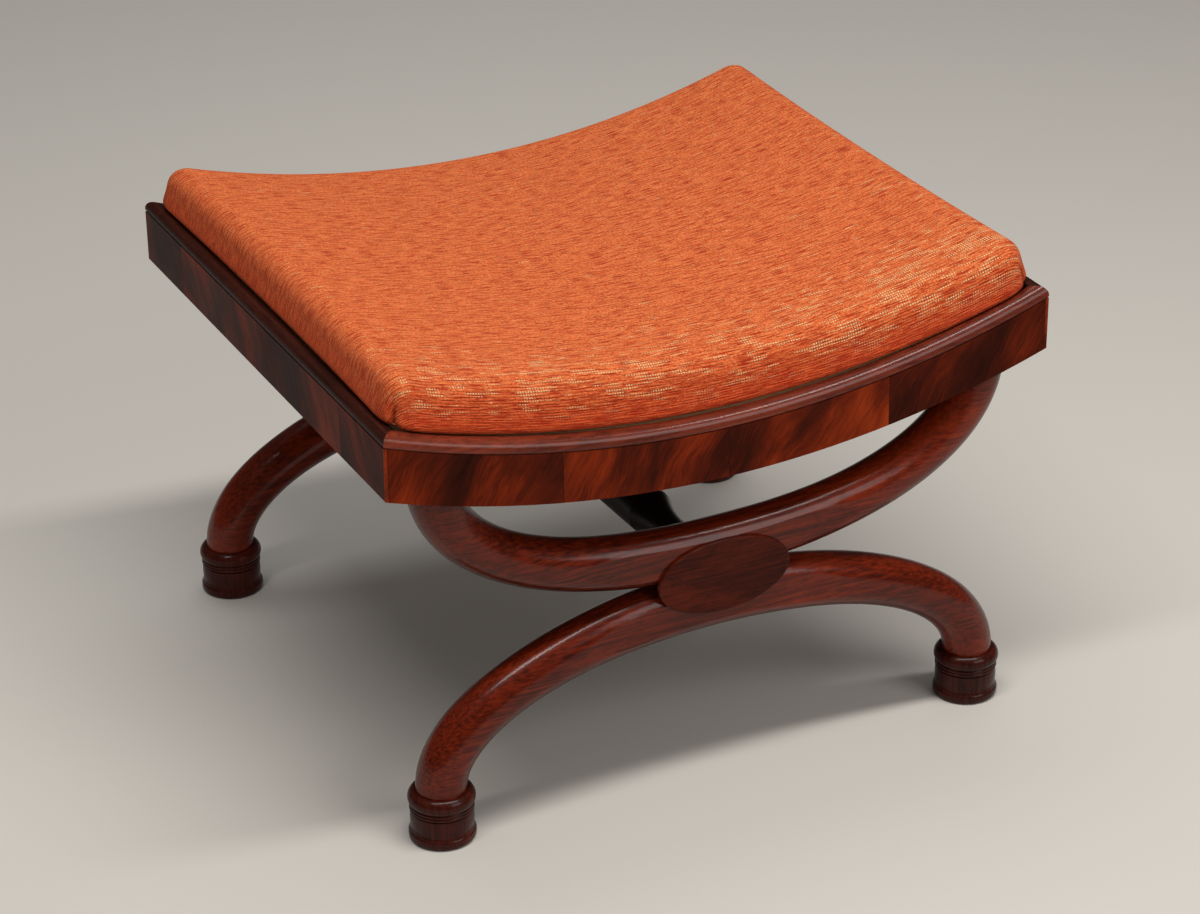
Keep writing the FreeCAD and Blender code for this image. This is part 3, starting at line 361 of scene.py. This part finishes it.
LONG_SHEET = 0.151
SHORT_SHEET = 0.178
FLAME_LEAN = math.radians(58)
finishes = {
    "rail_x": polished_wood("mahogany_rail_long", "x", (46, 19, 14), (74, 30, 20), (100, 44, 28),
                            shine=0.4, coat=0.08),
    "rail_y": polished_wood("mahogany_rail_short", "y", (46, 19, 14), (74, 30, 20), (100, 44, 28),
                            shine=0.4, coat=0.08),
    "veneer_x": flame_veneer("flame_veneer_long", "x", LONG_SHEET, FLAME_LEAN),
    # painted shade: the short sides' veneer is painted darker, as the shade on the sides away from the
    # light
    "veneer_y": flame_veneer("flame_veneer_short_painted_shade", "y", SHORT_SHEET, -FLAME_LEAN, painted_shade=0.7),
    "moulding_x": polished_wood("mahogany_moulding_long", "x", (60, 20, 12), (98, 35, 20), (136, 56, 34),
                                shine=0.3, coat=0.6, figure=10.0, pores=0.6),
    # painted shade: the short mouldings get darker tones than the long ones, for the sides that face away
    # from the light
    "moulding_y": polished_wood("mahogany_moulding_short_painted_shade", "y", (36, 15, 11), (54, 22, 15), (76, 33, 22),
                                shine=0.36, coat=0.12, figure=10.0, pores=0.6),
    "arc": polished_wood("mahogany_arc", "x", (46, 10, 3), (90, 23, 6), (142, 46, 14),
                         shine=0.28, coat=0.6, figure=11.0, pores=0.5),
    "foot": polished_wood("mahogany_foot", "z", (34, 11, 8), (58, 18, 11), (92, 32, 20),
                          shine=0.28, coat=0.3, figure=30.0, pores=0.4),
    "boss": polished_wood("mahogany_boss", "x", (34, 10, 6), (62, 18, 9), (98, 33, 14),
                          shine=0.36, coat=0.1, figure=24.0, pores=0.7),
    # painted shade: the stretcher is painted near black, for the shade it stands in under the seat
    "stretcher": polished_wood("mahogany_stretcher_painted_shade", "y", (12, 6, 5), (20, 9, 7), (34, 14, 10),
                               shine=0.3, coat=0.15),
    "block": plain_wood("pine_block", "x", (150, 112, 70), (196, 156, 104)),
    "dowel": plain_wood("beech_dowel", "z", (176, 140, 94), (212, 180, 134)),
    "slip_x": plain_wood("beech_slip_long", "x", (182, 142, 96), (214, 178, 130)),
    "slip_y": plain_wood("beech_slip_short", "y", (182, 142, 96), (214, 178, 130)),
    "screw": steel("screw_steel", (150, 146, 140)),
    "tack": steel("tack_steel", (110, 110, 116)),
    "webbing": woven("jute_webbing", (176, 150, 104), (198, 172, 124), 0.003, (70, 60, 110)),
    "hessian": woven("hessian", (164, 134, 88), (186, 156, 106), 0.002),
    "under_cloth": woven("black_dust_cloth", (16, 16, 17), (30, 30, 32), 0.0012),
    "chenille": chenille("orange_chenille"),
}
BY_NODE = {
    "rail_front": "rail_x", "rail_back": "rail_x", "rail_left": "rail_y", "rail_right": "rail_y",
    "veneer_front": "veneer_x", "veneer_back": "veneer_x", "veneer_left": "veneer_y",
    "veneer_right": "veneer_y", "moulding_front": "moulding_x", "moulding_back": "moulding_x",
    "moulding_left": "moulding_y", "moulding_right": "moulding_y", "arc_": "arc", "foot_front": "foot",
    "foot_back": "foot", "foot_dowels": "dowel", "rail_dowels": "dowel", "crossing_dowels": "dowel",
    "slip_dowels": "dowel", "boss_": "boss", "stretcher": "stretcher", "corner_block_screws": "screw",
    "corner_block_": "block", "slip_rail_front": "slip_x", "slip_rail_back": "slip_x",
    "slip_rail_": "slip_y", "webbing_strap_": "webbing", "webbing_tacks": "tack", "cover_staples": "tack",
    "hessian": "hessian", "under_cloth": "under_cloth", "seat_": "chenille",
}


def finish_for(node):
    """The finish whose key is the longest that the node's name starts with."""
    keys = [key for key in BY_NODE if node.startswith(key)]
    return finishes[BY_NODE[max(keys, key=len)]]


for name, thing in nodes.items():
    thing.data.materials.clear()
    thing.data.materials.append(finish_for(name))


def new_piece(name, points, faces, material):
    """A mesh piece from points in millimetres."""
    mesh = bpy.data.meshes.new(name)
    mesh.from_pydata([tuple(p) for p in np.asarray(points, float) * MM], [], faces)
    mesh.materials.append(material)
    mesh.polygons.foreach_set("use_smooth", [True] * len(mesh.polygons))
    thing = bpy.data.objects.new(name, mesh)
    scene.collection.objects.link(thing)
    return thing


# The cushion is one closed skin: cloth over the top, down the sides and under the slip frame
ROLL = 24.0
LIP_ROUND = 5.0
SHRINK = 2.5
LIP_PRESS = 1.6
LAP_RISE = RIM_TOP + 0.5
SIDE_CLOTH = 20.0
LAP_CLOTH = 12.0
FOLD = 0.8
EDGE_FOLD = 1.0
CELL = 8.0
FAN = 8
SWELL = 0.0045
SWELL_FRAMES = 20


def crown_top(x, y):
    """The crowned top of the stuffed seat."""
    rail_top = CORNER_UNDERSIDE + RAIL_HEIGHT
    end_top = rail_top + END_RISE
    middle_top = rail_top - SEAT_SAG + MIDDLE_RISE
    dip = end_top - middle_top
    radius = (SEAT_X ** 2 + dip ** 2) / (2 * dip)
    edge = middle_top + radius - np.sqrt(radius ** 2 - x ** 2)
    crown = CROWN * np.clip(1 - (x / SEAT_X) ** 2, 0, 1) * np.clip(1 - (y / SEAT_Y) ** 2, 0, 1)
    return edge + crown


def draw_in(x, y):
    """Pulls the plan in between its corners."""
    reach_x, reach_y = SEAT_X + BULGE, SEAT_Y + BULGE
    new_x = x * (1 - DRAW_IN / reach_x * np.clip(1 - (y / reach_y) ** 2, 0, 1))
    new_y = y * (1 - DRAW_IN / reach_y * np.clip(1 - (x / reach_x) ** 2, 0, 1))
    return new_x, new_y


def cushion_skin():
    """Points, faces, cloth places and how free each point is to swell."""
    inner_x = SEAT_X + BULGE - ROLL - SHRINK
    inner_y = SEAT_Y + BULGE - ROLL - SHRINK
    nx = round(2 * inner_x / CELL)
    ny = round(2 * inner_y / CELL)
    xs = np.linspace(-inner_x, inner_x, nx + 1)
    ys = np.linspace(-inner_y, inner_y, ny + 1)
    points, cloth, free, faces = [], [], [], []

    def add_point(x, y, z, u, v, give):
        points.append((x, y, z))
        cloth.append((u, v))
        free.append(give)
        return len(points) - 1

    top = np.zeros((nx + 1, ny + 1), int)
    for i, x in enumerate(xs):
        for j, y in enumerate(ys):
            px, py = draw_in(x, y)
            top[i, j] = add_point(px, py, float(crown_top(px, py)) - SHRINK, x, y, 1.0)
    for i in range(nx):
        for j in range(ny):
            faces.append((top[i, j], top[i + 1, j], top[i + 1, j + 1], top[i, j + 1]))
    # the border of the middle grid, anticlockwise, as (point index, corner x, corner y, direction)
    sides = [([(i, 0) for i in range(nx + 1)], (0.0, -1.0), -90),
             ([(nx, j) for j in range(ny + 1)], (1.0, 0.0), 0),
             ([(i, ny) for i in range(nx, -1, -1)], (0.0, 1.0), 90),
             ([(0, j) for j in range(ny, -1, -1)], (-1.0, 0.0), 180)]
    border = []
    for places, way, start in sides:
        border += [(top[i, j], xs[i], ys[j], way) for i, j in places]
        i, j = places[-1]
        border += fan(top[i, j], xs[i], ys[j], start)

    # each step outwards: (reach from the border, kind of height, height, length of cloth, freedom)
    steps = []
    for k in range(1, 6):
        turn = k / 5 * math.pi / 2
        steps.append((ROLL * math.sin(turn), "top", -ROLL * (1 - math.cos(turn)), ROLL * turn, 1.0))
    low = LAP_RISE + LIP_ROUND
    wide = ROLL + SHRINK + LIP_PRESS
    for k in (1, 2, 3, 4):
        steps.append((ROLL + (wide - ROLL) * k / 4, "side", k / 4,
                      ROLL * math.pi / 2 + SIDE_CLOTH * k / 4, 1 - 0.5 * k / 4))
    cloth_down = ROLL * math.pi / 2 + SIDE_CLOTH
    for k, give in ((1, 0.25), (2, 0.1), (3, 0.0)):
        turn = k / 3 * math.pi / 2
        steps.append((wide - LIP_ROUND * (1 - math.cos(turn)), "rail", low - LIP_ROUND * math.sin(turn),
                      cloth_down + LIP_ROUND * turn, give))
    # out of sight: down the plug, in under the slip frame to the hem, and back up inside
    plug = ROLL - BULGE
    under = cloth_down + LAP_CLOTH
    turned_in = under + LAP_CLOTH + EDGE_FOLD
    end = turned_in + COVER_HEM + EDGE_FOLD
    hidden = [(plug, LAP_RISE, under),
              (plug, UNDER_SEAT + FOLD, under + LAP_CLOTH),
              (plug - FOLD, UNDER_SEAT, turned_in),
              (plug - COVER_HEM + EDGE_FOLD, UNDER_SEAT, turned_in + COVER_HEM),
              (plug - COVER_HEM, UNDER_SEAT + CLOTH * 0.5, end),
              (plug - COVER_HEM + EDGE_FOLD, UNDER_SEAT + CLOTH, end),
              (plug - CLOTH, UNDER_SEAT + CLOTH, end),
              (plug - CLOTH, SLIP_TOP + 0.1, end),
              (plug - CLOTH - 4, SLIP_TOP + STUFFING_GAP, end)]
    steps += [(reach, "rail", height, length, 0.0) for reach, height, length in hidden]

    def ring_point(corner_x, corner_y, way, reach, kind, height, length, give):
        x = corner_x + way[0] * reach
        y = corner_y + way[1] * reach
        px, py = draw_in(x, y)
        if kind == "top":
            z = float(crown_top(px, py)) - SHRINK + height
        elif kind == "side":
            high = float(crown_top(px, py)) - SHRINK - ROLL
            z = high + (float(saddle(px, low)) - high) * height
        else:
            z = float(saddle(px, height))
        return add_point(px, py, z, corner_x + way[0] * length, corner_y + way[1] * length, give)

    previous = [entry[0] for entry in border]
    for reach, kind, height, length, give in steps:
        ring = [ring_point(cx, cy, way, reach, kind, height, length, give)
                for _, cx, cy, way in border]
        for k in range(len(ring)):
            after = (k + 1) % len(ring)
            corners = [previous[k], ring[k], ring[after], previous[after]]
            loop = []
            for corner in corners:
                if corner not in loop:
                    loop.append(corner)
            if len(loop) > 2:
                faces.append(tuple(loop))
        previous = ring
    # the underside of the stuffing lies on the frame and the hessian
    bottom_x = inner_x - 14
    bottom_y = inner_y - 14
    ring = []
    for _, cx, cy, way in border:
        x = max(-bottom_x, min(bottom_x, cx))
        y = max(-bottom_y, min(bottom_y, cy))
        px, py = draw_in(x, y)
        ring.append(add_point(px, py, float(saddle(px, HESSIAN_TOP + STUFFING_GAP)), x, y, 0.0))
    for k in range(len(ring)):
        after = (k + 1) % len(ring)
        faces.append((previous[k], ring[k], ring[after], previous[after]))
    centre = add_point(0.0, 0.0, float(saddle(0.0, HESSIAN_TOP + STUFFING_GAP)), 0.0, 0.0, 0.0)
    return points, cloth, free, faces, ring, centre


def fan(index, corner_x, corner_y, start):
    """The extra directions round one corner of the border."""
    spokes = []
    for k in range(1, FAN):
        angle = math.radians(start + 90 * k / FAN)
        spokes.append((index, corner_x, corner_y, (math.cos(angle), math.sin(angle))))
    return spokes


def close_bottom(points, cloth, free, faces, ring):
    """Fills the underside with rows that follow the saddle."""
    steps = 12
    previous = ring
    for k in range(1, steps):
        share = 1 - k / steps
        following = []
        for index in ring:
            x, y, _ = points[index]
            px, py = x * share, y * share
            points.append((px, py, float(saddle(px, HESSIAN_TOP + STUFFING_GAP))))
            cloth.append((px, py))
            free.append(0.0)
            following.append(len(points) - 1)
        for a in range(len(ring)):
            b = (a + 1) % len(ring)
            faces.append((previous[a], following[a], following[b], previous[b]))
        previous = following
    return previous


points, cloth, free, faces, ring, centre = cushion_skin()
last = close_bottom(points, cloth, free, faces, ring)
for a in range(len(last)):
    b = (a + 1) % len(last)
    faces.append((last[a], centre, last[b]))
cushion = new_piece("seat_cushion", points, faces, finishes["chenille"])


def set_cloth_places(thing, places):
    """A UV map in metres of cloth, from one place for each point."""
    layer = thing.data.uv_layers.new(name="cloth")
    for loop in thing.data.loops:
        layer.data[loop.index].uv = Vector(places[loop.vertex_index]) * MM


def swell(thing, give, cap):
    """Blows the stuffed cover up a little by a cloth simulation, and keeps the result."""
    group = thing.vertex_groups.new(name="held")
    for index, share in enumerate(give):
        group.add([index], 1 - share, "REPLACE")
    start = np.array([v.co for v in thing.data.vertices])
    work = thing.modifiers.new("swell", "CLOTH")
    work.settings.use_pressure = True
    work.settings.uniform_pressure_force = 4.0
    work.settings.quality = 6
    work.settings.tension_stiffness = 25
    work.settings.compression_stiffness = 12
    work.settings.bending_stiffness = 1.5
    work.settings.vertex_group_mass = "held"
    work.settings.effector_weights.gravity = 0.0
    for step in range(1, SWELL_FRAMES + 1):
        scene.frame_set(step)
    final = thing.evaluated_get(bpy.context.evaluated_depsgraph_get()).data
    moved = np.array([v.co for v in final.vertices]) - start
    length = np.linalg.norm(moved, axis=1, keepdims=True)
    keep = cap * np.tanh(length / cap) / np.maximum(length, 1e-9) * np.array(give)[:, None]
    result = start + moved * keep
    thing.modifiers.remove(work)
    thing.vertex_groups.clear()
    thing.data.vertices.foreach_set("co", result.ravel())
    scene.frame_set(1)


set_cloth_places(cushion, cloth)
swell(cushion, free, SWELL)
refine = cushion.modifiers.new("refine", "SUBSURF")
refine.levels = refine.render_levels = 1
depsgraph = bpy.context.evaluated_depsgraph_get()
finer = bpy.data.meshes.new_from_object(cushion.evaluated_get(depsgraph))
cushion.modifiers.clear()
cushion.data = finer


GROOVE_WIDTH = 0.0028
GROOVE_DEPTH = 0.0022


def tuck_corners(thing):
    """Folds the cover in at each corner, where the cloth is drawn down."""
    mesh = thing.data
    coords = np.array([v.co for v in mesh.vertices])
    fold_shades = np.zeros(len(coords))
    for end in (-1, 1):
        for side in (-1, 1):
            corner = np.array([(SEAT_X + BULGE - 7) * end, (SEAT_Y + BULGE - 7) * side]) * MM
            outwards = np.array([end, side]) / math.sqrt(2)
            offset = coords[:, :2] - corner
            sideways = offset @ np.array([-outwards[1], outwards[0]])
            groove = np.exp(-(sideways / GROOVE_WIDTH) ** 2)
            lips = 0.45 * np.exp(-((np.abs(sideways) - 0.007) / 0.004) ** 2)
            rise = (coords[:, 2] - saddle(coords[:, 0] / MM, RIM_TOP) * MM) / MM
            band = np.clip((rise + 2) / 8, 0, 1) * np.clip((36 - rise) / 22, 0, 1)
            outside = np.clip((offset @ outwards + 0.02) / 0.02, 0, 1)
            # the mask of each crease, kept as an attribute for the painted shade in the tucks
            crease_shade = np.exp(-(sideways / 0.0022) ** 2) * np.clip((26 - rise) / 12, 0, 1)
            fold_shades = np.maximum(fold_shades, crease_shade * band * outside)
            coords[:, :2] -= ((groove - lips) * band * outside * GROOVE_DEPTH)[:, None] * outwards
    mesh.vertices.foreach_set("co", coords.ravel())
    mesh.attributes.new("fold_shade", "FLOAT", "POINT").data.foreach_set("value", fold_shades)


tuck_corners(cushion)
cushion.data.update()
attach(cushion, "seat")
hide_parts("seat_cover", "seat_pad")

# The black cloth under the seat, stapled tight to the slip frame
half_x = SEAT_X - UNDER_CLOTH_INSET
half_y = SEAT_Y - UNDER_CLOTH_INSET
DUST_CLOTH_THICK = 0.0004
SAG = 0.36
PUCKER = 0.3
PUCKER_WIDTH = 7.5
across = np.linspace(-half_x, half_x, 65)
deep = np.linspace(-half_y, half_y, 57)
rows = []
for x in across:
    for y in deep:
        sag = SAG * (1 - (y / half_y) ** 2) * (1 - (x / half_x) ** 2)
        pucker = PUCKER * abs(math.sin(x / PUCKER_WIDTH)) * max(0.0, abs(y) / half_y - 0.75)
        rows.append((x, y, float(saddle(x, UNDER_SEAT + CLOTH - 0.35)) - 0.02 - sag - pucker))
quads = []
for i in range(len(across) - 1):
    for j in range(len(deep) - 1):
        first = i * len(deep) + j
        quads.append((first, first + len(deep), first + len(deep) + 1, first + 1))
dust_cloth = new_piece("dust_cloth", rows, quads, finishes["under_cloth"])
wall = dust_cloth.modifiers.new("thickness", "SOLIDIFY")
wall.thickness = DUST_CLOTH_THICK
wall.offset = 0.0
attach(dust_cloth, "seat")
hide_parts("under_cloth")


# Floor, light and camera
def studio_floor():
    finish = Finish("studio_floor")
    finish.set(Base_Color=tint((206, 201, 193)), Roughness=0.8)
    mesh = bpy.data.meshes.new("studio_floor")
    reach = 14.0
    mesh.from_pydata([(-reach, -reach, 0), (reach, -reach, 0), (reach, reach, 0), (-reach, reach, 0)], [],
                     [(0, 1, 2, 3)])
    mesh.materials.append(finish.material)
    floor = bpy.data.objects.new("studio_floor", mesh)
    scene.collection.objects.link(floor)


def soft_lamp(name, place, target, size, power, colour=(1, 1, 1)):
    lamp = bpy.data.lights.new(name, "AREA")
    lamp.shape = "RECTANGLE"
    lamp.size, lamp.size_y = size
    lamp.energy = power
    lamp.color = colour
    thing = bpy.data.objects.new(name, lamp)
    thing.location = place
    thing.rotation_euler = (Vector(target) - Vector(place)).to_track_quat("-Z", "Y").to_euler()
    scene.collection.objects.link(thing)


studio_floor()
soft_lamp("strip_light", (-0.1, -0.7, 2.4), (0, -0.1, 0.2), (2.5, 0.26), 42, (1.0, 0.98, 0.95))
soft_lamp("overhead_light", (0.2, 1.1, 3.0), (0, 0, 0.3), (2.2, 1.4), 16)
soft_lamp("front_softbox", (1.1, -2.4, 1.8), (0, 0, 0.25), (1.5, 1.2), 22, (1.0, 0.97, 0.95))

# The surroundings are paler to the eye than they are in the polish
AROUND = 0.3
AROUND_IN_POLISH = 0.05
world = bpy.data.worlds.new("studio")
world.use_nodes = True
backdrop = world.node_tree.nodes["Background"]
backdrop.inputs[0].default_value = (0.82, 0.81, 0.8, 1)
ray = world.node_tree.nodes.new("ShaderNodeLightPath")
level = world.node_tree.nodes.new("ShaderNodeMapRange")
level.inputs["To Min"].default_value = AROUND
level.inputs["To Max"].default_value = AROUND_IN_POLISH
world.node_tree.links.new(ray.outputs["Is Glossy Ray"], level.inputs["Value"])
world.node_tree.links.new(level.outputs[0], backdrop.inputs[1])
scene.world = world

CAMERA_PLACE = Vector((-1.22303, -2.50256, 1.59591))
AZIMUTH, ELEVATION, ROLL_ANGLE = (math.radians(a) for a in (-26.3065, 26.8781, -0.6192))
back = Vector((math.sin(AZIMUTH) * math.cos(ELEVATION), -math.cos(AZIMUTH) * math.cos(ELEVATION),
               math.sin(ELEVATION)))
level_right = (-back).cross(Vector((0, 0, 1))).normalized()
level_up = level_right.cross(-back)
right = level_right * math.cos(ROLL_ANGLE) + level_up * math.sin(ROLL_ANGLE)
up = level_up * math.cos(ROLL_ANGLE) - level_right * math.sin(ROLL_ANGLE)
lens = bpy.data.cameras.new("camera")
lens.lens = 104.71
lens.sensor_width = 36.0
lens.sensor_fit = "HORIZONTAL"
camera = bpy.data.objects.new("camera", lens)
turn = Matrix((right, up, back)).transposed().to_4x4()
camera.matrix_world = Matrix.Translation(CAMERA_PLACE) @ turn
scene.collection.objects.link(camera)
scene.camera = camera
scene.view_settings.view_transform = "Standard"
